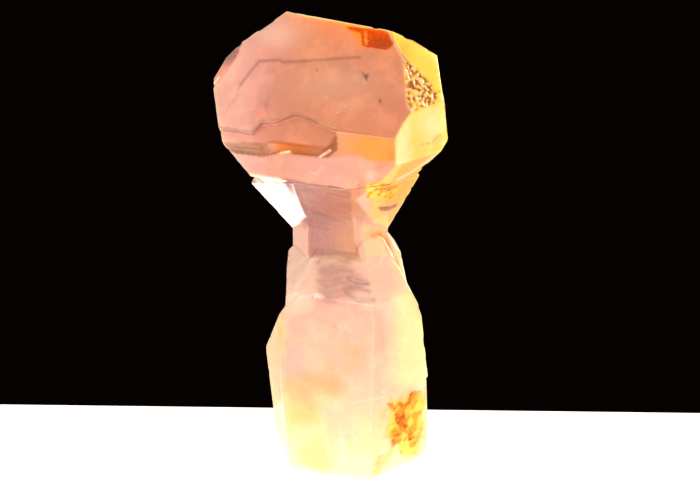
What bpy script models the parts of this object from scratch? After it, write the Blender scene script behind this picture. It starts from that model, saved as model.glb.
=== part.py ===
"""Amethyst sceptre crystal, about 49 mm tall, cut flat at its foot.

One natural quartz crystal: a wide amethyst head that grew on the tip of a slimmer quartz
stem. Stem and head share one lattice, so most of their faces take a few directions: six
prism faces around the upright axis, and sloping faces whose poles stand RHOMB degrees
above or below the horizontal. Every stretch of the crystal is a block bounded by such
faces, and the blocks are joined in one closed solid.

Azimuth 0 faces -Y, the front, and 90 faces +X. The foot rests on Z = 0.
A face is (azimuth, elevation of its pole, distance from the origin in mm).
"""

import math

import bmesh
import bpy
from mathutils import Vector

MM = 0.001

# Directions, in degrees
FRONT = -18.5
RIGHT = FRONT + 60.0
BACK_RIGHT = FRONT + 120.0
BACK = FRONT + 180.0
BACK_LEFT = FRONT + 240.0
LEFT = FRONT + 300.0
SIDES = (FRONT, RIGHT, BACK_RIGHT, BACK, BACK_LEFT, LEFT)
RHOMB = 38.2
UP = 90.0
DOWN = -90.0

# Distances of the upright and sloping faces, in the order of SIDES, None where there is none
HEAD_ACROSS = (8.45, 11.41, 10.85, 8.5, 8.2, 11.75)
HEAD_CROWN = (29.8, 34.85, 36.2, None, 33.63, 35.05)
HEAD_UNDER = (-15.3, -13.6, -14.7, -12.2, -13.7, -13.84)
NECK_ACROSS = (3.0, 4.8, 5.75, 4.8, 4.9, None)
SHOULDER_ACROSS = (6.1, 8.9, None, 5.7, 6.6, 5.9)
SHOULDER_CROWN = (17.55, 19.7, None, 17.4, 17.6, 16.6)
STEM_ACROSS = (6.3, 9.1, 9.7, 6.0, 7.5, 6.1)
STEM_CROWN = (17.7, 19.86, None, 15.6, 16.6, 16.0)

# Faces of the head that lie between the main directions
HEAD_BACK = (156.0, RHOMB, 30.25)
HEAD_RIGHT_CORNER = (32.0, 50.6, 40.45)
HEAD_LEFT_TAPER = (-94.4, -15.7, -0.1)
HEAD_RIGHT_TAPER = (92.0, 7.5, 16.6)
CORNER_FACET = (16.0, -37.6, -14.0)

# Faces of the taper from the head to the neck
BRIGHT_FACET = (-48.5, -33.9, -12.9)
TAPER_RIGHT = (BACK_RIGHT, -11.8, 1.25)
TAPER_BACK = (BACK, -RHOMB, -12.0)
TAPER_BACK_LEFT = (BACK_LEFT, -20.0, -3.3)
TAPER_LEFT = (-120.0, -32.1, -8.71)
TAPER_LEFT_CAP = (LEFT, RHOMB, 24.4)

# Faces of the neck and stem that lean a little
NECK_LEFT = (-73.5, 0.0, 2.93)
SHOULDER_RIGHT_SLOPE = (BACK_RIGHT, 33.9, 19.05)
SHOULDER_RIGHT = (BACK_RIGHT, 4.5, 8.7)
SHOULDER_LEFT = (-90.0, 3.0, 5.6)
STEM_LEFT_SLOPE = (-110.0, 30.1, 11.92)
STEM_LEFT = (LEFT, -6.0, 5.08)
STEM_FRONT_RIGHT = (RIGHT, -3.0, 8.54)
STEM_RIGHT_LOW = (BACK_RIGHT, 7.0, 10.7)
STEM_RIGHT_MID = (BACK_RIGHT, 16.0, 13.1)
STEM_RIGHT_HIGH = (BACK_RIGHT, 25.7, 15.6)

# The bite broken out of the stem's right edge
CHIP_SIDE = RIGHT + 30.0
CHIP_ROOF = (CHIP_SIDE + 180.0, 39.0, -2.11)
CHIP_WALL = (CHIP_SIDE + 180.0, -4.5, -10.95)

# Growth plates on the head's front, in mm
HEAD_FRONT = 6.9
PLATE_STEP = 0.55
PLATE_END = 3.1
PAST_HEAD = 14.0
UPPER_CUT_RISE = 3.0
LOWER_CUT_REACH = 6.0

# How far the taper stands out of the head's own lower faces, in mm
LAYER = 0.1

# Heights, in mm
LEDGE = 33.45
TAPER_TOP = 33.3
NECK_TOP = 33.0
NECK_BOTTOM = 8.0
PLATE_CUT_BOTTOM = 28.0

# Sizes that only need to be larger than the crystal, in mm
CUBE = 144.0
FAR = 20.0

# The upper plate's broken lower edge: (place across the front, height) in mm
UPPER_PLATE_EDGE = (
    (-PAST_HEAD, 38.6),
    (-9.0, 38.6),
    (-5.6, 38.5),
    (-4.8, 39.5),
    (-3.3, 39.7),
    (-1.8, 40.45),
    (-1.2, 40.5),
    (0.9, 40.05),
    (PLATE_END, 39.65),
)

# Where the lower plate's riser meets the head's upright front, likewise
LOWER_PLATE_EDGE = (
    (-PAST_HEAD, 36.15),
    (-8.8, 36.15),
    (-4.8, 36.0),
    (-4.0, 36.6),
    (1.6, 36.75),
    (3.0, 38.4),
    (3.2, 39.7),
    (PAST_HEAD, 39.7),
)


def pole(azimuth, elevation):
    """The outward unit normal of a face."""
    a = math.radians(azimuth)
    e = math.radians(elevation)
    return Vector((math.sin(a) * math.cos(e), -math.cos(a) * math.cos(e), math.sin(e)))


def on_front(across, out, height):
    """The point at that place across the front, out of the axis and up, all in mm."""
    outward = pole(FRONT, 0.0)
    sideways = Vector((0.0, 0.0, 1.0)).cross(outward)
    return (sideways * across + outward * out + Vector((0.0, 0.0, height))) * MM


def ring(elevation, distances):
    """One face of that elevation on each side that has a distance."""
    return [(side, elevation, d) for side, d in zip(SIDES, distances) if d is not None]


def moved(face, distance):
    """The same face, shifted outwards."""
    return (face[0], face[1], face[2] + distance)


def object_from(name, bm):
    bmesh.ops.recalc_face_normals(bm, faces=bm.faces[:])
    mesh = bpy.data.meshes.new(name)
    bm.to_mesh(mesh)
    bm.free()
    obj = bpy.data.objects.new(name, mesh)
    bpy.context.collection.objects.link(obj)
    return obj


def block(name, faces):
    """A large cube cut back to the given faces."""
    bm = bmesh.new()
    bmesh.ops.create_cube(bm, size=CUBE * MM)
    for azimuth, elevation, distance in faces:
        normal = pole(azimuth, elevation)
        cut = bmesh.ops.bisect_plane(
            bm,
            geom=bm.verts[:] + bm.edges[:] + bm.faces[:],
            dist=1e-9,
            plane_co=normal * distance * MM,
            plane_no=normal,
            clear_outer=True,
        )
        rim = [item for item in cut["geom_cut"] if isinstance(item, bmesh.types.BMEdge)]
        if rim:
            bmesh.ops.contextual_create(bm, geom=rim)
    return object_from(name, bm)


def loft(name, near, far):
    """A solid between two outlines of equally many points."""
    bm = bmesh.new()
    near_verts = [bm.verts.new(point) for point in near]
    far_verts = [bm.verts.new(point) for point in far]
    bm.faces.new(near_verts)
    bm.faces.new(far_verts)
    for i in range(len(near)):
        j = (i + 1) % len(near)
        bm.faces.new((near_verts[i], near_verts[j], far_verts[j], far_verts[i]))
    return object_from(name, bm)


def head():
    """The cap: sloping faces up to a chisel ridge, short prism faces, tapering below."""
    faces = ring(0.0, HEAD_ACROSS) + ring(RHOMB, HEAD_CROWN) + ring(-RHOMB, HEAD_UNDER)
    faces += [HEAD_BACK, HEAD_RIGHT_CORNER, HEAD_LEFT_TAPER, HEAD_RIGHT_TAPER, CORNER_FACET]
    return block("sceptre_crystal", faces)


def upper_plate_cutter():
    """Cuts one plate off the head's sloping front, below the upper plate's edge."""
    slope = math.tan(math.radians(RHOMB))
    crown = HEAD_CROWN[0] / math.cos(math.radians(RHOMB))
    drop = PLATE_STEP / (2.0 * math.sin(math.radians(RHOMB)))
    outline = list(UPPER_PLATE_EDGE)
    outline += [(PLATE_END, PLATE_CUT_BOTTOM), (-PAST_HEAD, PLATE_CUT_BOTTOM)]
    near = []
    far = []
    for across, height in outline:
        out = crown - slope * height
        near.append(on_front(across, out - slope * drop, height - drop))
        rise = UPPER_CUT_RISE
        far.append(on_front(across, out + slope * rise, height + rise))
    return loft("upper_plate_cutter", near, far)


def lower_plate_cutter():
    """Cuts back to the head's upright front, under a riser that leans outwards."""
    rise = LOWER_CUT_REACH / math.tan(math.radians(RHOMB))
    outline = list(LOWER_PLATE_EDGE)
    outline += [(PAST_HEAD, PLATE_CUT_BOTTOM), (-PAST_HEAD, PLATE_CUT_BOTTOM)]
    near = []
    far = []
    for across, height in outline:
        near.append(on_front(across, HEAD_FRONT, height))
        far.append(on_front(across, HEAD_FRONT + LOWER_CUT_REACH, height + rise))
    return loft("lower_plate_cutter", near, far)


def ledge_cutter():
    """Cuts the head back under the ledge at its lower left."""
    azimuth, elevation, distance = moved(BRIGHT_FACET, -LAYER)
    faces = [
        (azimuth + 180.0, -elevation, -distance),
        (FRONT, UP, LEDGE),
        (FRONT, DOWN, -NECK_BOTTOM),
        (azimuth, 0.0, FAR),
        (azimuth + 90.0, 0.0, FAR),
        (azimuth - 90.0, 0.0, FAR),
    ]
    return block("ledge_cutter", faces)


def taper():
    """The underside, from the head down to the neck."""
    faces = [
        (FRONT, -RHOMB, HEAD_UNDER[0] + LAYER),
        moved(CORNER_FACET, LAYER),
        (RIGHT, -RHOMB, HEAD_UNDER[1] + LAYER),
        TAPER_RIGHT,
        TAPER_BACK,
        (BACK, 0.0, HEAD_ACROSS[3] - LAYER),
        TAPER_BACK_LEFT,
        TAPER_LEFT,
        TAPER_LEFT_CAP,
        BRIGHT_FACET,
        (FRONT, UP, TAPER_TOP),
    ]
    return block("taper", faces)


def neck():
    """The waist, a narrow prism."""
    faces = ring(0.0, NECK_ACROSS)
    faces += [NECK_LEFT, (FRONT, UP, NECK_TOP), (FRONT, DOWN, -NECK_BOTTOM)]
    return block("neck", faces)


def shoulder():
    """The step below the neck, with sloping faces on top."""
    faces = ring(0.0, SHOULDER_ACROSS) + ring(RHOMB, SHOULDER_CROWN)
    faces += [SHOULDER_RIGHT_SLOPE, SHOULDER_RIGHT, SHOULDER_LEFT]
    faces += [(FRONT, DOWN, -NECK_BOTTOM)]
    return block("shoulder", faces)


def stem():
    """A hexagonal prism under a lopsided set of sloping faces."""
    faces = ring(0.0, STEM_ACROSS) + ring(RHOMB, STEM_CROWN)
    faces += [STEM_RIGHT_LOW, STEM_RIGHT_MID, STEM_RIGHT_HIGH, STEM_FRONT_RIGHT]
    faces += [STEM_LEFT_SLOPE, STEM_LEFT, (FRONT, DOWN, 0.0)]
    return block("stem", faces)


def chip():
    """The bite in the stem's right edge."""
    faces = [
        CHIP_ROOF,
        CHIP_WALL,
        (CHIP_SIDE, 0.0, FAR),
        (CHIP_SIDE + 90.0, 0.0, FAR),
        (CHIP_SIDE - 90.0, 0.0, FAR),
        (FRONT, DOWN, FAR),
    ]
    return block("chip", faces)


def combine(target, tool, operation):
    modifier = target.modifiers.new(tool.name, "BOOLEAN")
    modifier.operation = operation
    modifier.solver = "EXACT"
    modifier.object = tool
    tool.parent = target
    tool.hide_render = True
    tool.display_type = "WIRE"


def amethyst():
    """Clear quartz, tinted pink to peach."""
    material = bpy.data.materials.new("amethyst")
    material.use_nodes = True
    shader = material.node_tree.nodes["Principled BSDF"]
    shader.inputs["Base Color"].default_value = (0.92, 0.62, 0.5, 1.0)
    shader.inputs["Metallic"].default_value = 0.0
    shader.inputs["Roughness"].default_value = 0.06
    shader.inputs["IOR"].default_value = 1.544
    shader.inputs["Transmission Weight"].default_value = 0.9
    return material


def main():
    for obj in list(bpy.data.objects):
        bpy.data.objects.remove(obj, do_unlink=True)
    crystal = head()
    for cutter in (upper_plate_cutter, lower_plate_cutter, ledge_cutter):
        combine(crystal, cutter(), "DIFFERENCE")
    for stretch in (taper, neck, shoulder, stem):
        combine(crystal, stretch(), "UNION")
    combine(crystal, chip(), "DIFFERENCE")
    crystal.data.materials.append(amethyst())


main()
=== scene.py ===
"""The looks of an amethyst sceptre crystal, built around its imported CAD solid.

The crystal's skin is the CAD solid's own faces, meshed finely, with growth steps, pits,
ripples and worn edges raised or sunk in them. Lengths are in mm until a mesh is made.
Marks on the front are placed in pixels of the photograph's frame, and are laid on the
points that it shows there.
"""

import math

import bpy
import numpy as np
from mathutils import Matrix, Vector, geometry, kdtree, noise
from mathutils.bvhtree import BVHTree


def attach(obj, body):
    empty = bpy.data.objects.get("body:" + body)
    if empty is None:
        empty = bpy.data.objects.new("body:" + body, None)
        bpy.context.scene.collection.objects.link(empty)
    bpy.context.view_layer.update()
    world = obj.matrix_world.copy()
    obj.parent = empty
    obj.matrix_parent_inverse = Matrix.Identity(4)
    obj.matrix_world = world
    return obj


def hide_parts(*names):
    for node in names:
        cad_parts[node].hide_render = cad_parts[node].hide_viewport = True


MM = 0.001
SEED = 7
FAR = 1e9
TINY = 1e-9

# The camera, at the photograph's viewing angle
FRAME_WIDTH = 700
FRAME_HEIGHT = 502
SENSOR = 36
LENS = 120
ELEVATION = math.radians(24)
DISTANCE = 245
TARGET = np.array((2.1, 0, 23.15))
FORWARD = np.array((0, math.cos(ELEVATION), -math.sin(ELEVATION)))
UPWARD = np.array((0, math.sin(ELEVATION), math.cos(ELEVATION)))
EYE = TARGET - DISTANCE * FORWARD
FOCAL = LENS / SENSOR * FRAME_WIDTH
PX_PER_MM = 9.7

# The top of the taper below the head, and how far it stands out there
TAPER_TOP = 33.3
TAPER_REACH = 2.5
LEDGE_WIDTH = 0.122

# Mesh pitches: on faces that are seen, on others, and along edges
FINE = 0.2
COARSE = 0.36
EDGE_PITCH = 0.24
# Rows of points along edges, and along growth steps in px
RIM = 0.07
LINE_HALF = 0.45
LINE_PITCH = 1.6
HEX_ROW = 0.866
JITTER = 0.12

# Relief of every face, in mm
ROUND_REACH, ROUND_LEAST, ROUND_MORE = 0.1, 0.008, 0.05
CHIP_REACH, CHIP_DEPTH = 0.3, 0.12
CALM_FROM, CALM_TO = 0.15, 1
SWELL = 0.015
TERRACE_COUNT, TERRACE_EDGE = 5, 0.88
TERRACE_FRONT, TERRACE_HIDDEN = 0.004, 0.03
FURROW, FURROW_TURN = 0.008, 9
FOOT_INSET = 0.02

# Marks on the front, in pixels of the photograph's frame
STEP_ZERO = (
    (226, 112), (230, 104), (236, 98), (240, 85), (255, 66), (259, 61),
    (280, 60), (283, 62), (305, 61), (330, 59), (360, 57),
)
STEP_DEPTH, STEP_FADE = 0.025, 1.2
PIT_PATCH = (
    (403, 60), (410, 62), (420, 72), (431, 84), (440, 92),
    (434, 104), (422, 108), (412, 113), (407, 104), (405, 84),
)
PATCH_DEPTH, PATCH_FLOOR = 0.1, 0.04
CRUMBS = (0.42, 3, 24)
PIT_ROW = ((338, 112), (341, 109), (345, 106), (341, 104))
# Depth in mm, then middle and half sizes in px
PITS = (
    (0.16, 366, 78, 2, 4.5), (0.12, 380, 101, 1.2, 1.8), (0.06, 317, 70, 0.9, 0.9),
    (0.08, 335, 327, 1.2, 1.5), (0.1, 329, 296, 8, 6.5),
) + tuple((0.06, x, y, 1, 1) for x, y in PIT_ROW)
GLARE = ((249, 172), (284, 178), (302, 224), (288, 228))
GLARE_EDGE = ((291, 184), (306, 222))
GLARE_SINK = 0.13
RIDGE_HIGHLIGHT = ((300, 13), (330, 18.5), (356, 22.5), (388, 29))
BULGE_RIM = ((374, 236), (380, 234), (386, 241), (394, 260), (403, 280))
GLINTS = (((281, 153), (290, 151.5)), ((320, 157), (330, 150)))
# Ripples on the shoulders and the neck, and how dark each is
RIPPLES = (
    (((318, 262), (326, 257), (336, 258), (350, 262)), 0.05),
    (((320, 272), (333, 268), (344, 270), (352, 272)), 0.05),
    (((318, 281), (328, 284), (340, 280)), 0.05),
    (((348, 278), (356, 281), (368, 284)), 0.11),
    (((349, 288), (357, 287), (369, 291)), 0.08),
    (((345, 290), (350, 296), (359, 301), (374, 300)), 0.07),
    (((305, 210), (318, 213), (330, 218), (345, 222)), 0.06),
    (((303, 221), (314, 220), (326, 224)), 0.05),
    (((370, 286), (386, 279)), 0.05),
    (((372, 306), (388, 302)), 0.05),
)
RIPPLE_DEPTH, RIPPLE_FADE = 0.5, 0.5

# Strengths from 0 to 1 that the skin's material reads
ATTRIBUTES = ("pink", "yellow", "amber", "rust", "shade", "pale", "line", "dull")


def pole(azimuth, elevation):
    """A direction, as in the CAD: azimuth 0 faces -Y and 90 faces +X."""
    a = math.radians(azimuth)
    e = math.radians(elevation)
    return np.array((math.sin(a) * math.cos(e), -math.cos(a) * math.cos(e), math.sin(e)))


def to_frame(points):
    """Pixel coordinates in the photograph of points in mm."""
    rel = np.asarray(points, float) - EYE
    scale = FOCAL / (rel @ FORWARD)
    across = FRAME_WIDTH / 2 + rel[:, 0] * scale
    return np.stack((across, FRAME_HEIGHT / 2 - (rel @ UPWARD) * scale), 1)


def on_plane(px, normal, point):
    """Where the rays through pixels meet a plane, in mm."""
    side = (px[:, 0] - FRAME_WIDTH / 2) / FOCAL
    rise = (FRAME_HEIGHT / 2 - px[:, 1]) / FOCAL
    rays = FORWARD + side[:, None] * np.array((1, 0, 0)) + rise[:, None] * UPWARD
    reach = (normal @ (point - EYE)) / (rays @ normal)
    return EYE + rays * reach[:, None]


def unit(rows):
    return rows / np.maximum(np.linalg.norm(rows, axis=1), TINY)[:, None]


def smooth(x, low, high):
    t = np.clip((x - low) / (high - low), 0, 1)
    return t * t * (3 - 2 * t)


def fractal(points, scale, octaves=3, seed=0):
    """Fractal noise about 0, with features about scale mm wide."""
    out = np.empty(len(points))
    shift = np.array((13.1 * seed, -7.7 * seed, 3.3 * seed))
    for i, p in enumerate(points):
        out[i] = noise.fractal(Vector(p / scale + shift), 1, 2, octaves)
    return out


def inside_loops(points, starts, ends):
    """Even-odd test of 2-D points against segments."""
    inside = np.zeros(len(points), bool)
    for (x0, y0), (x1, y1) in zip(starts, ends):
        if y0 == y1:
            continue
        crosses = (points[:, 1] >= min(y0, y1)) & (points[:, 1] < max(y0, y1))
        at = x0 + (points[:, 1] - y0) / (y1 - y0) * (x1 - x0)
        inside ^= crosses & (points[:, 0] < at)
    return inside


def gap_to_segment(points, a, b):
    d = b - a
    t = np.clip(((points - a) @ d) / max(d @ d, 1e-12), 0, 1)
    return np.linalg.norm(points - a - t[:, None] * d, axis=1)


def gap_to_segments(points, starts, ends):
    best = np.full(len(points), FAR)
    for a, b in zip(np.asarray(starts, float), np.asarray(ends, float)):
        best = np.minimum(best, gap_to_segment(points, a, b))
    return best


def side_of_line(points, line):
    """Signed distance in px from an open line: positive on the side with larger y."""
    line = np.asarray(line, float)
    best = np.full(len(points), FAR)
    sign = np.ones(len(points))
    for a, b in zip(line[:-1], line[1:]):
        d = b - a
        gap = gap_to_segment(points, a, b)
        nearer = gap < best
        cross = d[0] * (points[:, 1] - a[1]) - d[1] * (points[:, 0] - a[0])
        best[nearer] = gap[nearer]
        sign[nearer] = np.where(cross[nearer] >= 0, 1, -1)
    return best * sign


def resample(line, pitch):
    """Points at most pitch apart along a line."""
    line = np.asarray(line, float)
    out = [line[0]]
    for a, b in zip(line[:-1], line[1:]):
        n = max(1, math.ceil(np.linalg.norm(b - a) / pitch))
        out.extend(a + (b - a) * k / n for k in range(1, n + 1))
    return np.array(out)


# The CAD solid's flat faces, meshed


def welded(node):
    """Vertices in mm, joined where they coincide, and triangles."""
    mesh = node.data
    mesh.calc_loop_triangles()
    co = np.array([v.co for v in mesh.vertices]) / MM
    points, index = np.unique(np.round(co, 3), axis=0, return_inverse=True)
    index = index.reshape(-1)
    tris = np.array([[index[i] for i in t.vertices] for t in mesh.loop_triangles])
    a, b, c = tris.T
    return points, tris[(a != b) & (b != c) & (a != c)]


def flat_faces(points, tris):
    """Groups of triangles that lie in one plane and touch: [(normal, triangle indices)]."""
    a, b, c = (points[tris[:, k]] for k in range(3))
    cross = np.cross(b - a, c - a)
    area = np.linalg.norm(cross, axis=1) / 2
    normal = cross / np.maximum(2 * area, 1e-12)[:, None]
    by_edge = {}
    for t, tri in enumerate(tris):
        for k in range(3):
            by_edge.setdefault(frozenset((tri[k], tri[(k + 1) % 3])), []).append(t)
    taken = np.zeros(len(tris), bool)
    faces = []
    for seed in np.argsort(-area):
        if taken[seed]:
            continue
        n = normal[seed]
        d = n @ points[tris[seed, 0]]
        taken[seed] = True
        members = [seed]
        for t in members:
            for k in range(3):
                for other in by_edge[frozenset((tris[t, k], tris[t, (k + 1) % 3]))]:
                    level = np.abs(points[tris[other]] @ n - d).max() < 0.004
                    alike = normal[other] @ n > 0.9 or area[other] < 1e-4
                    if not taken[other] and level and alike:
                        taken[other] = True
                        members.append(other)
        faces.append((n, members))
    return faces


def thinned(points, others, least):
    """The points that are farther than that from all of the others."""
    if not len(points) or not len(others):
        return points
    tree = kdtree.KDTree(len(others))
    for k, p in enumerate(others):
        tree.insert((p[0], p[1], 0), k)
    tree.balance()
    kept = [p for p in points if tree.find((p[0], p[1], 0))[2] > least]
    return np.array(kept).reshape(-1, 2)


def well_inside(points, starts, ends, least):
    """The 2-D points that are within the loops and farther than that from them."""
    if not len(points):
        return points.reshape(-1, 2)
    points = points[inside_loops(points, starts, ends)]
    return points[gap_to_segments(points, starts, ends) > least] if len(points) else points


def inner_points(origin, normal, tu, tv, starts, ends, seed):
    """Mesh points in a face: a row along its rim, rows along marks, and a grid."""
    seen = normal @ (EYE - origin) > 0
    pitch = FINE if seen else COARSE
    step = ends - starts
    across = unit(np.stack((-step[:, 1], step[:, 0]), 1)) * RIM
    middle = (starts + ends) / 2
    rows = np.concatenate((middle + across, middle - across))
    parts = [well_inside(rows, starts, ends, RIM * 0.8)]
    if seen:
        for line in (STEP_ZERO,) + tuple(line for line, dark in RIPPLES):
            for shift in (-LINE_HALF, LINE_HALF):
                px = resample(line, LINE_PITCH) + np.array((0, shift))
                rel = on_plane(px, normal, origin) - origin
                flat = np.stack((rel @ tu, rel @ tv), 1)
                parts.append(well_inside(flat, starts, ends, RIM * 1.2))
    extra = np.concatenate(parts)
    low, high = starts.min(0), starts.max(0)
    ys = np.arange(low[1] + pitch * 0.4, high[1], pitch * HEX_ROW)
    xs = np.arange(low[0] + pitch * 0.4, high[0], pitch)
    grid = np.array([(x + (k % 2) * pitch / 2, y) for k, y in enumerate(ys) for x in xs])
    grid = grid.reshape(-1, 2)
    grid = grid + np.random.default_rng(seed).uniform(-JITTER, JITTER, grid.shape) * pitch
    if seen and len(grid):
        px = to_frame(origin + grid[:, :1] * tu + grid[:, 1:] * tv)
        patch = np.asarray(PIT_PATCH, float)
        dense = grid[inside_loops(px, patch, np.roll(patch, -1, 0))]
        for shift in ((0.5, 0), (0.25, 0.43), (-0.25, 0.43)):
            grid = np.concatenate((grid, dense + np.array(shift) * pitch))
    grid = well_inside(grid, starts, ends, max(RIM * 1.45, pitch * 0.55))
    return np.concatenate((extra, thinned(grid, extra, pitch * 0.4)))


class Skin:
    """The crystal's surface while it is made: one row for each point or triangle."""

    def __init__(self, node):
        self.corners, self.corner_tris = welded(node)
        self.faces = flat_faces(self.corners, self.corner_tris)
        self.solid = BVHTree.FromPolygons(self.corners.tolist(), self.corner_tris.tolist())
        self.points = list(self.corners)
        self.rim = [0] * len(self.corners)
        self.tris = []
        self.tri_face = []
        self.divided = {}
        for f, (normal, members) in enumerate(self.faces):
            self.fill(f, normal, members)
        self.points = np.array(self.points)
        self.rim = np.array(self.rim)
        self.tris = np.array(self.tris)
        self.tri_face = np.array(self.tri_face)

    def divide(self, a, b):
        """The points along an edge of the solid, shared by its two faces."""
        key = (min(a, b), max(a, b))
        if key not in self.divided:
            p, q = self.corners[key[0]], self.corners[key[1]]
            n = max(1, round(np.linalg.norm(q - p) / EDGE_PITCH))
            between = [self.add(p + (q - p) * k / n, 0) for k in range(1, n)]
            self.divided[key] = [key[0]] + between + [key[1]]
        return self.divided[key] if key[0] == a else self.divided[key][::-1]

    def add(self, point, rim):
        """A new point, and how far it is from its face's rim."""
        self.points.append(point)
        self.rim.append(rim)
        return len(self.points) - 1

    def fill(self, f, normal, members):
        """Meshes one flat face."""
        tu = np.array(Vector(normal).orthogonal().normalized())
        tv = np.cross(normal, tu)
        edges = {}
        for t in members:
            tri = self.corner_tris[t]
            for a, b in zip(tri, np.roll(tri, -1)):
                key = frozenset((a, b))
                edges[key] = None if key in edges else (a, b)
        chains = [self.divide(*edge) for edge in edges.values() if edge is not None]
        ids = sorted({i for chain in chains for i in chain})
        local = {i: k for k, i in enumerate(ids)}
        origin = self.corners[self.corner_tris[members[0]][0]]
        rel = np.array([self.points[i] for i in ids]) - origin
        flat = np.stack((rel @ tu, rel @ tv), 1).astype(np.float32).astype(float)
        segments = [(local[a], local[b]) for chain in chains for a, b in zip(chain, chain[1:])]
        starts = flat[[a for a, b in segments]]
        ends = flat[[b for a, b in segments]]
        inner = inner_points(origin, normal, tu, tv, starts, ends, SEED + f)
        gaps = gap_to_segments(inner, starts, ends) if len(inner) else ()
        coords = [Vector(p) for p in flat] + [Vector(p) for p in inner]
        verts, _, made, sources, _, _ = geometry.delaunay_2d_cdt(coords, segments, [], 0, 1e-6)
        flat_out = np.array([tuple(v) for v in verts], float)
        new_ids = []
        for p, source in zip(flat_out, sources):
            shared = [s for s in source if s < len(ids)]
            if shared:
                new_ids.append(ids[shared[0]])
            else:
                rim = float(gaps[source[0] - len(ids)]) if source else RIM / 2
                new_ids.append(self.add(origin + tu * p[0] + tv * p[1], rim))
        kept = inside_loops(flat_out[np.array(made)].mean(1), starts, ends)
        for keep, (a, b, c) in zip(kept, made):
            pa, pb, pc = flat_out[[a, b, c]]
            turn = (pb[0] - pa[0]) * (pc[1] - pa[1]) - (pb[1] - pa[1]) * (pc[0] - pa[0])
            if keep:
                self.tris.append([new_ids[k] for k in ((a, b, c) if turn > 0 else (a, c, b))])
                self.tri_face.append(f)

    def outward(self, low=-2, high=2):
        """Each point's sum of the normals, with z between those, of the faces that meet there."""
        face_normals = np.array([normal for normal, members in self.faces])
        pairs = np.stack((self.tris.reshape(-1), np.repeat(self.tri_face, 3)), 1)
        pairs = np.unique(pairs, axis=0)
        z = face_normals[pairs[:, 1], 2]
        pairs = pairs[(z > low) & (z < high)]
        out = np.zeros((len(self.points), 3))
        np.add.at(out, pairs[:, 0], face_normals[pairs[:, 1]])
        return out

    def seen(self, normals):
        """True where the photograph shows the point."""
        eye = Vector(EYE)
        out = np.einsum("ij,ij->i", normals, EYE - self.points) > 0
        for k in np.flatnonzero(out):
            way = Vector(self.points[k]) - eye
            hit = self.solid.ray_cast(eye, way.normalized())[3]
            out[k] = hit is None or hit > way.length - 0.15
        # Each point then goes with most neighbours, twice over
        for _ in range(2):
            share = np.zeros(len(out))
            count = np.zeros(len(out))
            for a in range(3):
                for b in range(3):
                    np.add.at(share, self.tris[:, a], out[self.tris[:, b]])
                    np.add.at(count, self.tris[:, a], 1)
            out = share > 0.5 * count
        return out


class Front:
    """Masks and marks on the front, placed in pixels of the photograph's frame.

    A mask has a value for each point of the skin, mostly from 0 to 1.
    """

    def __init__(self, points, seen):
        self.points = points
        self.seen = seen
        self.px = to_frame(points)
        self.x, self.y = self.px.T
        self.made = {name: np.zeros(len(points)) for name in ATTRIBUTES}

    def region(self, soft, *outline, px=None):
        """1 within an outline, 0 outside it, with a soft edge."""
        px = self.px if px is None else px
        corners = np.array(outline, float)
        nexts = np.roll(corners, -1, 0)
        gap = gap_to_segments(px, corners, nexts)
        signed = np.where(inside_loops(px, corners, nexts), gap, -gap)
        return smooth(signed, -soft / 2, soft / 2)

    def stroke(self, width, soft, *line, px=None):
        """1 on a line of that width, 0 off it."""
        gap = gap_to_segments(self.px if px is None else px, line[:-1], line[1:])
        return 1 - smooth(gap, width / 2 - soft / 2, width / 2 + soft / 2)

    def blob(self, x, y, wide, high):
        return np.exp(-(((self.x - x) / wide) ** 2) - ((self.y - y) / high) ** 2)

    def right(self, low, high):
        """Rises to the right between two pixel columns. The next two go the other ways."""
        return smooth(self.x, low, high)

    def left(self, low, high):
        return smooth(-self.x, -high, -low)

    def down(self, low, high):
        return smooth(self.y, low, high)

    def noise(self, scale, octaves, seed):
        return fractal(self.points, scale, octaves, seed)

    def ragged(self, reach):
        """Pixel coordinates shifted by noise, for ragged outlines."""
        return self.px + reach * np.stack((self.noise(1.1, 4, 31), self.noise(1.1, 4, 32)), 1)

    def step_down(self, line, height, fade):
        """How far the surface drops below a growth step, sharp at it and then fading."""
        gap = side_of_line(self.px, line) / PX_PER_MM
        ends = np.array((line[0], line[-1]), float)
        reach = np.minimum(*(np.linalg.norm(self.px - end, axis=1) for end in ends)) / PX_PER_MM
        fall = np.exp(-np.maximum(gap, 0) / fade) * smooth(gap, -0.05, 0.05)
        return height * fall * smooth(reach, 0, 0.5) * (np.abs(gap) < fade * 5)

    def put(self, mask, **strengths):
        """Raises each attribute to the mask times its strength, or lowers it if negative."""
        for name, strength in strengths.items():
            if strength > 0:
                self.made[name] = np.maximum(self.made[name], mask * strength)
            else:
                self.made[name] *= 1 + mask * strength

    def tint(self, mask, **strengths):
        """The same at the points that are seen only."""
        self.put(mask * self.seen, **strengths)

    def area(self, soft, *outline, px=None, **strengths):
        self.tint(self.region(soft, *outline, px=px), **strengths)

    def line(self, width, soft, *points, **strengths):
        self.tint(self.stroke(width, soft, *points), **strengths)

    def spot(self, x, y, wide, high, **strengths):
        self.tint(self.blob(x, y, wide, high), **strengths)


# Relief


def smoothed_ledge(skin, at):
    """Moves that draw in the thin ledge at the top of the taper."""
    level = unit(skin.outward(-0.9, -0.3) * np.array((1, 1, 0)))
    z = skin.points[:, 2]
    near = smooth(z, TAPER_TOP - TAPER_REACH, TAPER_TOP) * (z < TAPER_TOP + 0.01)
    return -level * (LEDGE_WIDTH * near * (1 - at.region(10, *GLARE)))[:, None]


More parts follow.
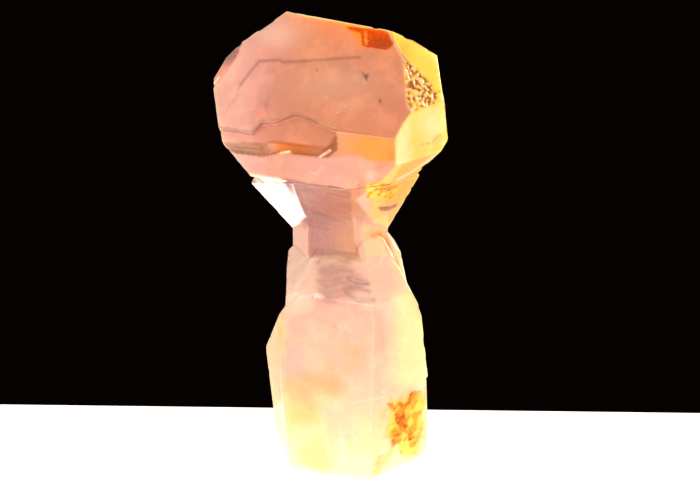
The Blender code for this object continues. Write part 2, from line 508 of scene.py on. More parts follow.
def relief(skin, normals, at):
    """How far each point is moved along its normal, in mm."""
    points, rim = skin.points, skin.rim
    rounding = ROUND_LEAST + ROUND_MORE * smooth(at.noise(1.4, 2, 1), 0.15, 0.55)
    sunk = np.exp(-((rim / ROUND_REACH) ** 2)) * rounding
    chips = smooth(at.noise(2.2, 3, 2), 0.38, 0.6)
    sunk += np.exp(-((rim / CHIP_REACH) ** 2)) * CHIP_DEPTH * chips
    # The glare's border stays even
    sunk *= 1 - at.stroke(14, 8, *GLARE_EDGE) * at.seen
    calm = smooth(rim, CALM_FROM, CALM_TO)
    sunk -= SWELL * calm * at.noise(5, 2, 3)
    # Low terraces, as growth leaves them
    level = fractal(points * np.array((1, 1, 1.6)), 6, 3, 4) * TERRACE_COUNT
    terrace = np.floor(level) + smooth(level - np.floor(level), TERRACE_EDGE, 1)
    faces_eye = np.einsum("ij,ij->i", normals, EYE - points) > 0
    sunk -= np.where(faces_eye, TERRACE_FRONT, TERRACE_HIDDEN) * calm * terrace
    # Fine furrows across the upright faces
    upright = 1 - smooth(np.abs(normals[:, 2]), 0.1, 0.3)
    furrow = np.sin(points[:, 2] * FURROW_TURN + 3 * at.noise(2.5, 2, 5))
    sunk += FURROW * upright * calm * furrow
    marks = at.step_down(STEP_ZERO, STEP_DEPTH, STEP_FADE)
    for line, dark in RIPPLES:
        marks += at.step_down(line, dark * RIPPLE_DEPTH, RIPPLE_FADE)
    rough = smooth(at.noise(*CRUMBS), -0.1, 0.3)
    marks += at.region(5, *PIT_PATCH) * (PATCH_DEPTH * rough + PATCH_FLOOR)
    for depth, x, y, wide, high in PITS:
        marks += depth * at.blob(x, y, wide, high)
    # The bright facet under the head rounds off, and its glare ends there
    marks += GLARE_SINK * at.stroke(9, 8, *GLARE_EDGE)
    sunk += marks * at.seen
    foot = np.abs(points[:, 2]) < 1e-6
    sunk[foot] = np.where(rim[foot] > 0, 0, FOOT_INSET)
    return -sunk


# Colour zones and stains


def zones(skin, normals, at):
    """The broad zones of the whole crystal, and the stains on its hidden sides."""
    x, y, z = skin.points.T
    wander = 1.6 * at.noise(6, 3, 8)
    head = smooth(z, 27, 31)
    stem = 1 - head
    # The left of the head is pink, the right yellow, the stem pale and yellow at its foot
    at.put(smooth(wander - x, 3, 8.5) * head, pink=0.75)
    at.put(smooth(x + wander, 8, 11) * head, yellow=0.95)
    at.put(stem * smooth(z, 10, 22), pink=0.45)
    # The stem is painted pale, and paler towards its foot as painted light from the bright floor
    # below
    at.put(stem * (1 - smooth(z + wander, 9, 24) * 0.6), pale=0.55)
    at.put(smooth(wander - x, 4, 10.5) * head, pale=0.3)
    at.put(1 - smooth(z + wander, 5, 12), yellow=0.75)
    at.put(stem * smooth(x + wander * 0.6, 5.5, 8.5), yellow=0.5)
    # Painted light: the foot is painted paler still, as lit by the bright floor
    at.put(1 - smooth(z + 0.5 * wander, 2, 8), pale=0.7)
    at.put(1 - smooth(z + 0.3 * wander, 0, 3), pale=0.95)
    # Faces of the stem that look upwards are painted paler and pinker: painted light that evens out
    # their shading
    at.put(smooth(normals[:, 2], 0.25, 0.5) * stem, pale=0.6, pink=0.75)
    # Stains that water left, on the sides that the photograph hides
    frayed = at.noise(2.6, 4, 11) + 0.5 * at.noise(0.8, 4, 14)
    at.put(smooth(frayed, 0.4, 0.75) * ~at.seen, rust=0.7)
    at.put(smooth(at.noise(5, 3, 12), 0.3, 0.7) * ~at.seen, amber=0.7)
    # Painted shade in patches along the hidden faces' edges
    edge_shade = np.exp(-((skin.rim / 0.2) ** 2)) * smooth(at.noise(3, 2, 13), 0, 0.4)
    at.put(edge_shade * ~at.seen, shade=0.25)


def head_marks(at):
    """The head's two right faces, its top, and the bevel at the far left."""
    right_top = at.region(
        3, (389, 28), (438, 56), (444, 94), (430, 86), (416, 70), (404, 56), (395, 44))
    right_low = at.region(
        3, (412, 112), (422, 107), (434, 104), (443, 93), (450, 139), (442, 152), (396, 166),
        (395, 139), (403, 124))
    for face in (right_top, right_low):
        at.tint(face, yellow=1, pink=-1)
    at.tint(right_low * at.blob(432, 122, 14, 16), pale=0.4)
    at.tint(right_low * smooth(at.y - 0.5 * at.x, -88, -66), amber=0.22)
    at.tint(right_low * smooth(at.noise(2, 4, 51), 0.05, 0.4), amber=0.22)
    at.tint(right_low * smooth(at.noise(2.2, 4, 52), -0.2, 0.5), pale=0.42)
    at.tint(right_top * at.blob(402, 50, 10, 9), amber=0.5)
    at.tint(right_top * smooth(at.x - 0.7 * at.y, 384, 400), pale=0.2)
    face = at.region(
        4, (283, 8), (396, 30), (408, 60), (395, 139), (220, 128), (212, 88), (243, 42))
    at.tint(face * (1 - right_top) * (1 - right_low), yellow=-1)
    at.spot(276, 34, 30, 18, pale=0.4)
    at.spot(330, 84, 50, 22, pale=0.16)
    below = smooth(at.y - 0.16 * (at.x - 287), 14, 48)
    at.tint(face * (1 - below) * at.right(284, 330), amber=0.33)
    bevel = at.region(
        1.5, (243, 40), (236, 47), (217, 68), (211, 76), (213, 88), (222, 78), (236, 58))
    at.tint(bevel * smooth(-at.y, -66, -54), pink=1)
    at.tint(bevel * smooth(-at.y, -72, -56), shade=1)
    at.tint(bevel, pale=-1, dull=0.9)
    at.tint(bevel * at.down(58, 68), amber=0.3)
    # A painted glint on the bevel
    at.line(1.6, 1.2, (213, 85), (219, 77), pale=0.8)


def window_marks(at):
    """The window of iron stain at the head's top right."""
    at.area(4, (334, 22), (392, 29), (396, 44), (388, 51), (360, 46), (354, 36), amber=0.8)
    at.area(
        1.6, (346, 26), (364, 28), (388, 29), (391, 35), (395, 44), (387, 50), (370, 48), (362, 46),
        (361, 33), (350, 30), rust=0.94)
    at.area(6, (372, 40), (382, 36), (394, 40), (393, 47), (386, 50), (374, 48), line=0.26)
    at.line(2.6, 1.2, (365.5, 31), (366, 44), rust=-0.75)
    at.area(4, (346, 26), (388, 29), (395, 44), (387, 50), (362, 46), dull=0.9)
    # A painted highlight along the top ridge, pale and yellow
    at.line(2, 1.2, *RIDGE_HIGHLIGHT, pale=0.45)
    at.line(3.5, 1.2, *RIDGE_HIGHLIGHT, yellow=0.7)
    at.line(2, 1.2, (388, 30), (395, 45), (405, 62), pale=0.35)
    at.line(1.6, 1.2, (329, 20), (334, 24), (340, 22), amber=0.9)


def step_marks(at):
    """Growth steps and pits on the head's front, and their dark lines: dirt, and painted shade on
    the steps' risers.
    """
    at.line(3, 2, *STEP_ZERO[3:], line=0.5)
    at.line(3.6, 3, *STEP_ZERO[:4], line=0.16)
    at.area(
        16, (243, 84), (262, 63), (362, 60), (402, 66), (408, 100), (398, 122), (345, 118),
        (300, 104), (250, 122), (238, 108), shade=0.06)
    at.tint(at.blob(265, 104, 7, 13) * smooth(at.noise(0.8, 3, 46), -0.5, 0.2), shade=0.5)
    at.tint(at.blob(262, 84, 16, 14) + 0.8 * at.blob(300, 112, 24, 12), shade=0.2)
    for x, y in PIT_ROW:
        at.spot(x, y, 1.4, 1.4, pale=0.35)
    at.spot(355, 78, 7, 7, pale=0.22)
    at.area(1.6, (361.5, 71), (364, 78), (366, 82.5), (367.5, 78), (370, 72), (366, 75), line=0.8)
    at.tint(at.blob(380, 101, 1.6, 2.8) + at.blob(317, 70, 1.3, 1.3), line=1)
    ledge = (
        (218, 128), (252, 133), (262, 122), (277, 121), (293, 114.5), (298, 114.5), (317, 122),
        (336, 129), (345, 132), (396, 140))
    at.line(4.4, 1.6, *ledge[:3], line=0.62)
    at.line(4, 1.6, *ledge[2:7], line=0.56)
    at.line(3.4, 1.6, *ledge[6:], line=0.34)


def riser_marks(at):
    """The dark drop below the growth plates, partly painted shade under the overhanging plate, and
    the faces round it.
    """
    dark = at.region(
        1.6, (221, 142), (265, 144), (273, 141), (320, 147), (326, 147), (337, 135), (338, 150),
        (328, 158), (280, 153), (262, 157), (224, 151))
    at.tint(dark * at.left(262, 272), line=0.64, amber=0.5)
    at.tint(dark, dull=0.8, pink=-1)
    at.line(
        2.4, 1.2, (222, 142), (265, 144), (274, 141.5), (320, 147), (326, 147), (337, 136),
        line=0.5)
    scratches = at.stroke(1.6, 1.2, (232, 147), (262, 149))
    scratches += at.stroke(1.6, 1.2, (236, 153), (262, 156), (276, 153))
    at.tint(scratches, line=0.85)
    at.tint(dark * at.left(262, 282), shade=0.3)
    at.tint(dark * at.right(268, 284) * at.left(300, 325), amber=1)
    at.tint(dark * at.right(262, 300), line=0.58)
    at.tint(dark * at.right(268, 280), rust=0.45)
    band = at.region(
        6, (337, 132), (396, 139), (396, 162), (376, 162), (357, 154), (330, 156), (328, 148))
    at.tint(band * at.right(322, 372), amber=1)
    at.tint(band * at.right(355, 376) * at.down(134, 146), amber=1)
    at.spot(391, 155, 4, 6, rust=0.35)
    # Painted glints along the drop's lower rim, and a small painted highlight on the plate below
    at.tint(sum(at.stroke(1.8, 1.2, *glint) for glint in GLINTS), pale=0.9)
    at.tint(sum(at.stroke(2.4, 1.2, *glint) for glint in GLINTS), line=-1)
    at.line(1.8, 1.2, (311, 173), (317, 174), (322, 166), pale=0.3)
    lower = at.region(
        3, (224, 152), (262, 158), (280, 154), (322, 158), (357, 156), (378, 164), (360, 180),
        (356, 190), (283, 178), (252, 174))
    at.tint(lower, pale=0.1)
    at.tint(lower * at.right(270, 300), pink=0.55)
    at.tint(lower * at.right(325, 360), amber=0.22)
    at.spot(371, 178, 6, 9, pink=0.8)
    at.spot(371, 177, 7, 9, pale=0.3)


def under_marks(at):
    """The faces under the head: glare, violet and gold from left to right."""
    # The glare facet is painted white as a painted highlight over the low_left lamp's real
    # reflection, and the highlight's fade is painted pink and mauve along its edge
    at.area(2, (249, 173), (284, 179), (302, 224), (290, 227), pale=1, pink=-1)
    at.line(9, 7, *GLARE_EDGE, pink=1, shade=0.4, pale=-1)
    at.line(11, 9, *GLARE_EDGE, dull=1)
    facet = at.region(
        2.5, (281, 178), (351, 191), (352, 215), (355, 240), (362, 262), (308, 257), (308, 228),
        (301, 217))
    # The violet facet: its own mauve, and painted shade under the head
    at.tint(facet * (1 - 0.35 * at.right(300, 345)), shade=0.8)
    streaky = np.stack((at.x * 0.06, at.y * 0.45 - at.x * 0.1, np.zeros(len(at.x))), 1)
    streaks = smooth(fractal(streaky, 1.6, 3, 41), 0.1, 0.5)
    at.tint(facet * streaks * (1 - at.down(225, 240)), line=0.42)
    at.tint(facet * (1 - at.right(308, 340)), pink=0.6)
    at.tint(facet, pale=-0.8)
    warm = facet * at.right(315, 350)
    at.tint(warm * at.down(200, 240), amber=0.5)
    at.tint(warm, pink=-0.9)
    at.tint(facet * at.right(325, 355) * at.down(205, 240), yellow=0.3)
    # Painted light along the foot of the violet facet, lightening the shade where the neck meets
    # the shoulders
    at.line(6, 5, (300, 259), (338, 258), (354, 264), pale=0.45)
    at.area(8, (356, 236), (388, 230), (396, 252), (366, 258), pale=0.4)
    at.area(3, (290, 226), (308, 229), (308, 258), (286, 262), pink=0.6, pale=0.25)
    under = at.region(
        4, (396, 166), (414, 160), (442, 151), (388, 228), (372, 222), (356, 200), (376, 186))
    at.tint(under * at.right(362, 380), yellow=0.85)
    at.tint(under * at.right(372, 392), amber=0.48)
    at.tint(under * (1 - at.right(362, 380)), pale=0.5, pink=0.5)
    gold = at.region(4, (366, 183), (398, 183), (402, 190), (394, 199), (366, 197), px=at.ragged(3))
    at.tint(gold, pale=-1, yellow=1, dull=0.8)
    at.tint(gold * smooth(at.noise(0.9, 3, 45), -0.35, 0.2), amber=0.95)
    at.area(5, (384, 200), (410, 184), (396, 212), (384, 214), amber=0.5)
    specks = at.region(2, (373, 188), (379, 186), (380, 196), (375, 197))
    specks += at.region(2, (384, 187), (393, 184), (392, 195), (386, 196))
    at.tint(specks * smooth(at.noise(0.5, 3, 42), -0.2, 0.15), line=0.5)
    low = at.region(2, (378, 207), (390, 206), (398, 203), (396, 207), (388, 211), (380, 211))
    at.tint(low, rust=0.9)
    at.tint(low * smooth(at.noise(0.4, 3, 43), -0.1, 0.2), line=0.4)
    at.line(2.5, 1.2, (397, 180), (412, 172), (440, 152), pale=0.5)
    at.line(1.4, 1.2, (398, 166), (412, 161), (430, 155), line=0.1)
    cracks = at.stroke(1.4, 1.2, (420, 145), (427, 143), (430, 144))
    cracks += at.stroke(1.6, 1.2, (433, 142), (437, 137), (441, 135))
    at.tint(cracks, line=0.5)
    at.line(1.8, 1.2, (366, 168), (359, 178), (358, 190), (362, 204), shade=0.22)
    at.line(2.4, 2, (386, 232), (387, 240), (389, 247), line=0.35)
    at.line(12, 5, (378, 232), (386, 242), (394, 260), (403, 282), dull=1)
    at.line(5, 3, *BULGE_RIM, amber=0.6)
    at.line(6, 4, *BULGE_RIM, pale=-0.8)
    at.area(8, (360, 226), (386, 224), (392, 254), (366, 258), yellow=0.45)
    # A painted glint at the neck's right edge
    at.line(2.2, 1.2, (379, 264), (385, 254), pale=0.9)


def shoulder_marks(at):
    """The rippled shoulders at the top of the stem."""
    for line, height in RIPPLES[:6]:
        at.line(4, 2.6, *line, line=4.6 * height)
        at.line(5, 4, *line, shade=0.55)
    at.tint(at.stroke(3, 3, *RIPPLES[6][0]) + at.stroke(3, 3, *RIPPLES[7][0]), line=0.3)
    at.area(
        8, (318, 287), (326, 284), (338, 286), (342, 294), (336, 303), (327, 303), (319, 296),
        shade=0.6)
    at.line(1.6, 1.6, (319, 288), (320, 297), (327, 303.5), (336, 303), line=0.22)
    at.area(20, (318, 262), (348, 262), (362, 284), (344, 293), (318, 288), shade=0.45)
    at.area(10, (316, 246), (362, 246), (362, 264), (340, 260), (316, 262), amber=0.25)
    ripple = at.region(10, (318, 258), (352, 257), (368, 288), (344, 300), (318, 294))
    waves = np.sin(at.y * 0.95 + at.x * 0.12 + 5 * at.noise(2.5, 2, 44))
    at.tint(ripple * smooth(waves, 0.2, 1), line=0.224)
    at.line(1.4, 1.2, (342, 305), (345, 311), line=0.2)
    at.spot(335, 327, 1, 1.2, line=0.8)
    # The shoulders are painted paler and pinker: painted light that evens out their facets' shading
    shoulders = at.region(
        30, (286, 258), (300, 262), (320, 262), (316, 312), (278, 330), (282, 280))
    shoulders += at.region(
        30, (352, 262), (398, 248), (410, 290), (424, 330), (430, 372), (404, 350), (390, 316),
        (360, 312))
    at.tint(np.minimum(shoulders, 1), pale=0.56, pink=0.2)
    at.area(14, (318, 264), (348, 262), (368, 282), (344, 302), (320, 302), pale=-0.5)


def stem_marks(at):
    """Colour zones and flaws of the stem."""
    right = at.region(20, (378, 296), (412, 290), (432, 340), (430, 388), (380, 388))
    at.tint(right, pale=0.5, pink=-0.6)
    at.tint(right * at.right(382, 406), yellow=0.9)
    at.area(
        3, (281, 312), (266, 340), (262, 380), (270, 480), (285, 480), (281, 400), (279, 360),
        (283, 330), pale=-0.5, yellow=0.35, dull=0.8, pink=-1)
    at.area(6, (277, 318), (284, 322), (286, 358), (274, 352), amber=0.55)
    at.area(18, (280, 340), (300, 344), (306, 378), (284, 380), pink=0.75, pale=-0.3)
    at.area(8, (330, 286), (400, 286), (404, 310), (350, 318), (322, 306), pink=0.55)
    at.area(
        20, (280, 378), (300, 374), (334, 364), (342, 372), (346, 392), (336, 400), (318, 396),
        (284, 392), amber=0.6, pink=0.5, pale=-0.6)
    at.area(
        20, (344, 344), (366, 342), (366, 362), (354, 372), (346, 362), px=at.ragged(6), amber=0.5,
        pale=-0.35)
    at.area(
        14, (286, 391), (306, 391), (318, 404), (318, 423), (290, 426), pink=0.7, amber=0.2,
        pale=-0.6)
    at.area(10, (324, 408), (352, 404), (360, 440), (330, 444), pink=0.4, yellow=-0.5)
    at.line(3, 1.2, (353, 402.5), (372, 399.5), (385, 397), pale=0.7)
    at.spot(384, 391.5, 3, 2, pale=0.9)
    at.area(3, (338, 437), (346, 437), (346, 466), (338, 466), pale=0.8)
    at.area(
        12, (299, 446), (318, 440), (330, 456), (332, 474), (318, 474), (300, 462), yellow=1,
        pale=-0.45)
    at.area(3, (319, 450), (326, 450), (326, 472), (319, 472), shade=0.14)


def stain_marks(at):
    """The iron stain at the stem's lower right."""
    ragged = at.ragged(7)
    field = at.region(
        10, (388, 402), (412, 392), (424, 394), (424, 440), (412, 456), (396, 452), (388, 440),
        (384, 420), px=ragged)
    tail = at.stroke(10, 8, (396, 440), (386, 456), (376, 470), px=ragged)
    field = np.maximum(field, 0.7 * tail)
    at.tint(field, yellow=1, dull=0.8, pale=-1)
    patches = smooth(at.noise(1, 4, 21), -0.1, 0.35)
    at.tint(field * patches, amber=0.75)
    trunk = at.stroke(
        6, 5, (418, 393), (410, 398), (401, 407), (400, 418), (404, 430), (412, 436), px=ragged)
    trunk = np.maximum(trunk, at.stroke(4.5, 4, (386, 404), (394, 407), (402, 404), px=ragged))
    trunk = np.maximum(trunk, at.stroke(4, 4, (402, 422), (396, 432), (392, 446), px=ragged))
    at.tint(trunk, amber=1)
    at.tint(trunk * smooth(at.noise(0.8, 4, 22), -0.25, 0.25), rust=0.8)
    flecks = at.blob(365, 440, 2, 1.2) + at.blob(372, 436, 2, 1.2) + at.blob(382, 453, 2, 3)
    at.tint(flecks, shade=0.3)
    at.tint(at.blob(375, 470, 4, 4) + at.blob(330, 473, 6, 3), amber=0.3)


def pit_marks(at):
    """Rust in the pitted patch."""
    patch = at.region(4, *PIT_PATCH)
    at.tint(patch, yellow=0.8, amber=0.3)
    crumbs = at.noise(0.42, 3, 24)
    at.tint(patch * smooth(crumbs, 0, 0.25), rust=0.8)
    at.tint(patch * smooth(crumbs, 0.12, 0.35), line=0.5)
    at.tint(patch * smooth(-crumbs, 0.2, 0.4), pale=0.4)


FRONT_MARKS = (
    head_marks, window_marks, step_marks, riser_marks, under_marks,
    shoulder_marks, stem_marks, stain_marks, pit_marks,
)

# Materials

# Tints of the skin, each over the ones before it; the pale one also paints highlights and light,
# and the mauve one also paints shade
PEACH = (0.80, 0.36, 0.205)
PEACH_BRIGHT = (0.86, 0.39, 0.22)
PEACH_ROSY = (0.82, 0.38, 0.27)
TINTS = (
    ("pink", (0.90, 0.43, 0.41)),
    ("yellow", (0.97, 0.8, 0.12)),
    ("amber", (0.92, 0.3, 0.008)),
    ("rust", (0.52, 0.07, 0.001)),
    ("shade", (0.42, 0.185, 0.185)),
    ("pale", (1, 0.9, 0.72)),
    ("line", (0.16, 0.055, 0.035)),
)
EVEN = ("pale", "line")
# How much rougher and how much less clear each makes the skin
ROUGHER = (("rust", 0.06), ("pale", 0.05), ("line", 0.05), ("shade", 0.05))
CLOUDIER = (("rust", 0.4), ("amber", 0.3), ("line", 0.3), ("yellow", 0.15), ("pale", 0.15))
ROUGH_LEAST, ROUGH_MOST = 0.08, 0.16
GLOSS, GLOSS_DULL = 0.5, 0.02
CLEAR, CLEAR_LEAST, CLEAR_MOTTLE = 0.4, 0.05, 0.1
QUARTZ_IOR = 1.544
MILKINESS = 0.85
MILK_RADIUS = (1, 0.55, 0.35)
MILK_DEPTH = 3
ABSORPTION_COLOUR = (0.98, 0.72, 0.6)
ABSORPTION = 70

# Name, thin and thick colour, and least and most cover
SEALED_KINDS = {
    "milk": ("milky_veil", (0.98, 0.86, 0.76), (0.9, 0.66, 0.56), 0.05, 0.45),
    "iron": ("iron_film", (0.95, 0.42, 0.02), (0.5, 0.08, 0.004), 0.25, 0.85),
}


class Nodes:
    """One material's node tree."""

    def __init__(self, name):
        self.material = bpy.data.materials.new(name)
        self.material.use_nodes = True
        self.tree = self.material.node_tree
        self.shader = self.tree.nodes["Principled BSDF"]
        where = self.add("TexCoord", {})
        self.place = self.mapped(where.outputs["Object"], (1 / MM,) * 3)

    def feed(self, node, inputs):
        """Sets inputs to numbers, vectors or colours, or links them to outputs."""
        for name, value in inputs.items():
            socket = node.inputs[name]
            if isinstance(value, (int, float)):
                socket.default_value = value
            elif isinstance(value, tuple):
                socket.default_value = (*value, 1)[:len(socket.default_value)]
            else:
                self.tree.links.new(value, socket)

    def add(self, kind, inputs):
        node = self.tree.nodes.new("ShaderNode" + kind)
        self.feed(node, inputs)
        return node

    def mapped(self, vector, scale):
        return self.add("Mapping", {"Vector": vector, "Scale": scale}).outputs["Vector"]

    def noise(self, scale, detail, rough, stretch=None):
        """Noise with features about 1 / scale mm wide."""
        place = self.mapped(self.place, stretch) if stretch else self.place
        inputs = {"Scale": scale, "Detail": detail, "Roughness": rough, "Vector": place}
        return self.add("TexNoise", inputs).outputs["Fac"]

    def attribute(self, name):
        node = self.add("Attribute", {})
        node.attribute_name = name
        return node.outputs["Fac"]

    def ranged(self, value, a, b, low=0, high=1):
        ends = {"From Min": a, "From Max": b, "To Min": low, "To Max": high}
        node = self.add("MapRange", {"Value": value, **ends})
        node.interpolation_type = "SMOOTHSTEP"
        return node.outputs["Result"]

    def math(self, operation, a, b):
        node = self.add("Math", {0: a, 1: b})
        node.operation = operation
        return node.outputs["Value"]

    def shifted(self, operation, value, shifts):
        for name, by in shifts:
            value = self.math(operation, value, self.math("MULTIPLY", self.attribute(name), by))
        return value

    def mix(self, amount, a, b):
        # Inputs 6 and 7 and the third output are the colour ones
        node = self.add("Mix", {"Factor": amount, 6: a, 7: b})
        node.data_type = "RGBA"
        return node.outputs[2]

    def bump(self, height, strength, distance):
        inputs = {"Strength": strength, "Distance": distance * MM, "Height": height}
        return self.add("Bump", inputs).outputs["Normal"]


def crystal_material():
    n = Nodes("amethyst_skin")
    mottle = n.noise(0.35, 4, 0.6)
    bands = n.noise(0.9, 2, 0.5, (0.35, 0.35, 1.4))
    colour = n.mix(n.ranged(mottle, 0.35, 0.7), PEACH, PEACH_BRIGHT)
    colour = n.mix(n.ranged(bands, 0.5, 0.75, 0, 0.35), colour, PEACH_ROSY)
    breakup = n.ranged(n.noise(3.5, 4, 0.6), 0.3, 0.7, 0.86, 1.25)
    for name, tint in TINTS:
        amount = n.attribute(name)
        if name not in EVEN:
            amount = n.math("MULTIPLY", amount, breakup)
        colour = n.mix(amount, colour, tint)
    rough = n.ranged(n.noise(1.2, 5, 0.65), 0.35, 0.75, ROUGH_LEAST, ROUGH_MOST)
    rough = n.shifted("ADD", rough, ROUGHER)
    clear = n.shifted("SUBTRACT", CLEAR, CLOUDIER)
    clear = n.math("SUBTRACT", clear, n.ranged(mottle, 0.45, 0.7, 0, CLEAR_MOTTLE))
    n.feed(n.shader, {
        "Base Color": colour,
        "Roughness": rough,
        "Specular IOR Level": n.ranged(n.attribute("dull"), 0, 1, GLOSS, GLOSS_DULL),
        "Transmission Weight": n.math("MAXIMUM", clear, CLEAR_LEAST),
        "IOR": QUARTZ_IOR,
        "Subsurface Weight": MILKINESS,
        "Subsurface Radius": MILK_RADIUS,
        "Subsurface Scale": MILK_DEPTH * MM,
        "Normal": n.bump(n.noise(6, 3, 0.6, (1, 1, 2.2)), 0.35, 0.02),
    })
    inside = n.add("VolumeAbsorption", {"Color": ABSORPTION_COLOUR, "Density": ABSORPTION})
    n.feed(n.tree.nodes["Material Output"], {"Volume": inside.outputs["Volume"]})
    return n.material


def sealed_material(name, light, deep, thin, dense):
    """A cloudy, partly clear sheet: milky healed cracks, or films of iron stain."""
    n = Nodes(name)
    cloud = n.ranged(n.noise(0.9, 5, 0.65), 0.35, 0.65, thin, dense)
    specks = n.noise(4.5, 4, 0.7)
    n.feed(n.shader, {
        "Base Color": n.mix(n.ranged(specks, 0.35, 0.65), light, deep),
        "Roughness": n.ranged(specks, 0.3, 0.7, 0.35, 0.7),
        "Alpha": n.math("MULTIPLY", cloud, n.ranged(specks, 0.3, 0.6, 0.5, 1)),
        "Normal": n.bump(specks, 0.4, 0.03),
    })
    return n.material


def floor_material():
    n = Nodes("pale_floor")
    cloud = n.ranged(n.noise(0.05, 4, 0.6), 0.3, 0.7)
    n.feed(n.shader, {
        "Base Color": n.mix(cloud, (0.86, 0.85, 0.83), (0.9, 0.89, 0.87)),
        "Roughness": 0.6,
        "Emission Color": (1, 0.97, 0.93),
        "Emission Strength": 0.55,
    })
    # A glow this wide is met by enough rays without being sampled as a lamp
    n.material.cycles.emission_sampling = "NONE"
    return n.material


# The crystal


def placed(name, data):
    obj = bpy.data.objects.new(name, data)
    bpy.context.scene.collection.objects.link(obj)
    return obj


def mesh_object(name, points, faces, material, rounded=True):
    mesh = bpy.data.meshes.new(name)
    corners = [tuple(p * MM) for p in points]
    mesh.from_pydata(corners, [], [tuple(int(i) for i in face) for face in faces])
    mesh.validate()
    mesh.polygons.foreach_set("use_smooth", [rounded] * len(mesh.polygons))
    mesh.materials.append(material)
    return placed(name, mesh)


def keep_sharp(mesh, skin):
    """Keeps the drawn-in ledge out of its neighbours' shading."""
    heights = [skin.corners[skin.corner_tris[members[0]][0], 2] for normal, members in skin.faces]
    ledges = [f for f, (normal, members) in enumerate(skin.faces)
              if normal[2] > 0.9 and abs(heights[f] - TAPER_TOP) < 0.01]
    sharp = set()
    for tri in skin.tris[np.isin(skin.tri_face, ledges)]:
        for a, b in zip(tri, np.roll(tri, -1)):
            sharp.add((min(a, b), max(a, b)))
    flags = [tuple(sorted(e.vertices)) in sharp for e in mesh.edges]
    layer = mesh.attributes.new("sharp_edge", "BOOLEAN", "EDGE")
    layer.data.foreach_set("value", flags)


def make_crystal(skin):
    normals = unit(skin.outward())
    at = Front(skin.points, skin.seen(normals))
    moved = skin.points + smoothed_ledge(skin, at) + normals * relief(skin, normals, at)[:, None]
    moved[:, 2] = np.maximum(moved[:, 2], 0)
    crystal = mesh_object("crystal", moved, skin.tris, crystal_material())
    zones(skin, normals, at)
    for draw in FRONT_MARKS:
        draw(at)
    for name, values in at.made.items():
        layer = crystal.data.attributes.new(name, "FLOAT", "POINT")
        layer.data.foreach_set("value", np.clip(values, 0, 1).astype(np.float32))
    keep_sharp(crystal.data, skin)
    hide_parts("sceptre_crystal")
    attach(crystal, "root")


# Veils and iron films sealed in the crystal

SHEET_PITCH = 0.3
SHEET_HALF = 0.02
SHEET_WAVE = 0.5
SHEET_FRAY = 0.9
SHEET_SEED = 60
CLEARANCE = 0.4

# The pixel that each lies behind and how deep, where it faces, its half width and half
# height, and what it is made of
SEALED = (
    ("film_window", (376, 39), 0.9, (-18.5, 34), 1.9, 1, "iron"),
    ("film_under", (382, 196), 1, (50, -35), 1.5, 1.6, "iron"),
    ("film_stem", (405, 416), 0.9, (50, 4), 1.5, 2.8, "iron"),
    ("film_right", (420, 84), 1, (48, 25), 1.3, 2, "iron"),
    ("veil_head_left", (276, 96), 2.6, (-46, 24), 3.6, 4.2, "milk"),
    ("veil_head_middle", (335, 92), 3.6, (8, 48), 4.4, 3.2, "milk"),
    ("veil_head_back", (320, 60), 8.5, (-30, -12), 5, 3.6, "milk"),
    ("veil_neck", (326, 224), 1.6, (-30, -20), 1.7, 3.2, "milk"),
    ("veil_stem_left", (300, 402), 1.6, (-52, 38), 2.4, 2.6, "milk"),
    ("veil_stem_right", (392, 330), 1.8, (66, -24), 2.4, 2.8, "milk"),
    ("veil_stem_low", (340, 450), 2.8, (-10, 14), 3.2, 1.8, "milk"),
)


def sheet_cells(inside):
    """The largest set of touching grid cells with all four corners kept."""
    cells = inside[:-1, :-1] & inside[1:, :-1] & inside[:-1, 1:] & inside[1:, 1:]
    left = {tuple(cell) for cell in np.argwhere(cells).tolist()}
    best = []
    while left:
        group = [min(left)]
        left.discard(group[0])
        for i, j in group:
            for cell in ((i + 1, j), (i - 1, j), (i, j + 1), (i, j - 1)):
                if cell in left:
                    left.discard(cell)
                    group.append(cell)
        best = max(best, group, key=len)
    return sorted(best)


def sheet_points(solid, pixel, depth, facing, wide, high, seed):
    """A wavy grid of points behind a pixel, which are kept, and where it faces."""
    way = on_plane(np.array([pixel], float), FORWARD, TARGET)[0] - EYE
    way /= np.linalg.norm(way)
    centre = np.array(solid.ray_cast(Vector(EYE), Vector(way))[0]) + way * depth
    normal = pole(*facing)
    tu = np.cross((0, 0, 1), normal)
    tu /= np.linalg.norm(tu)
    tv = np.cross(normal, tu)
    us = np.arange(-wide * 1.3, wide * 1.3, SHEET_PITCH)
    vs = np.arange(-high * 1.3, high * 1.3, SHEET_PITCH)
    u, v = (grid.reshape(-1, 1) for grid in np.meshgrid(us, vs, indexing="ij"))
    points = centre + tu * u + tv * v
    points = points + normal * (SHEET_WAVE * fractal(points, 3, 3, seed))[:, None]
    spread = (u[:, 0] / wide) ** 2 + (v[:, 0] / high) ** 2
    inside = spread + SHEET_FRAY * fractal(points, 1.8, 3, seed + 1) < 0.9
    for k in np.flatnonzero(inside):
        place, away, _, gap = solid.find_nearest(Vector(points[k]))
        inside[k] = gap > CLEARANCE and (Vector(points[k]) - place).dot(away) < 0
    return points.reshape(len(us), len(vs), 3), inside.reshape(len(us), len(vs)), normal


